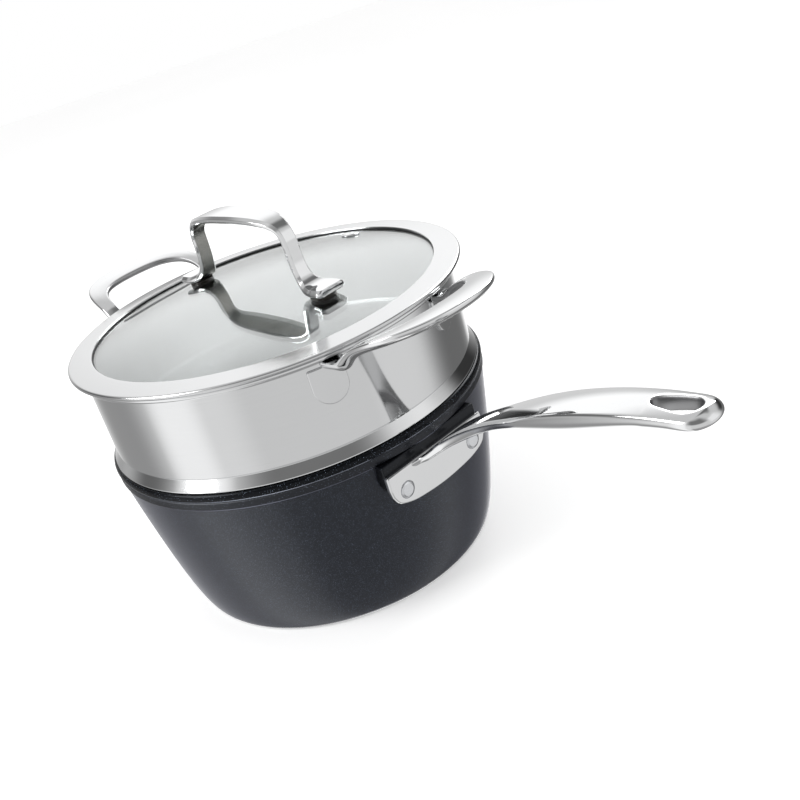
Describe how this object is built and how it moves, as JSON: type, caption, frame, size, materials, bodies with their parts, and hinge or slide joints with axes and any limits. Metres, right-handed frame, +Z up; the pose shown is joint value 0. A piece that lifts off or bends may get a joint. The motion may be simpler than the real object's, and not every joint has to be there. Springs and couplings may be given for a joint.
{
  "type": "double boiler",
  "caption": "Double boiler: dark coated saucepan with long polished handle, stepped steel insert with loop handles, and domed glass lid with strap handle.",
  "frame": {"origin": "centre of the saucepan's underside, at table level", "axes": "+Z up along the pots' axis, +X along the long handle"},
  "size_m": [0.4075, 0.2118, 0.1974],
  "materials": {
    "pan_coating": "cast aluminium under a charcoal satin coating with fine sparkle",
    "base_steel": "turned steel induction face",
    "polished_steel": "mirror-polished cast stainless steel",
    "rivet_steel": "satin steel fasteners",
    "brushed_steel": "circumferentially brushed stainless sheet, polished below the step",
    "plate_steel": "satin steel plate",
    "tinted_glass": "clear tempered glass with a slight grey-green tint",
    "rim_steel": "soft-polished steel rim",
    "black_seal": "black seal",
    "dark_washer": "dark heat-resistant washer"
  },
  "bodies": {
    "saucepan": {"saucepan_body": "pan_coating", "induction_base_plate": "base_steel", "saucepan_handle": "polished_steel", "saucepan_rivets": "rivet_steel"},
    "insert": {"insert_shell": "brushed_steel", "insert_handle_front": "polished_steel", "insert_handle_rear": "polished_steel", "insert_handle_front_pads": "plate_steel", "insert_handle_rear_pads": "plate_steel"},
    "lid": {"lid_glass": "tinted_glass", "lid_rim_ring": "rim_steel", "lid_rim_seal": "black_seal", "steam_vent": "polished_steel", "lid_handle": "polished_steel", "lid_handle_washers": "dark_washer", "lid_handle_under_washers": "dark_washer", "lid_handle_screws": "rivet_steel"}
  },
  "joints": [
    {"name": "insert_lift", "type": "slide", "parent": "saucepan", "child": "insert", "axis": [0, 0, 1], "range_m": [0, 0.12]},
    {"name": "lid_lift", "type": "slide", "parent": "insert", "child": "lid", "axis": [0, 0, 1], "range_m": [0, 0.07]}
  ]
}
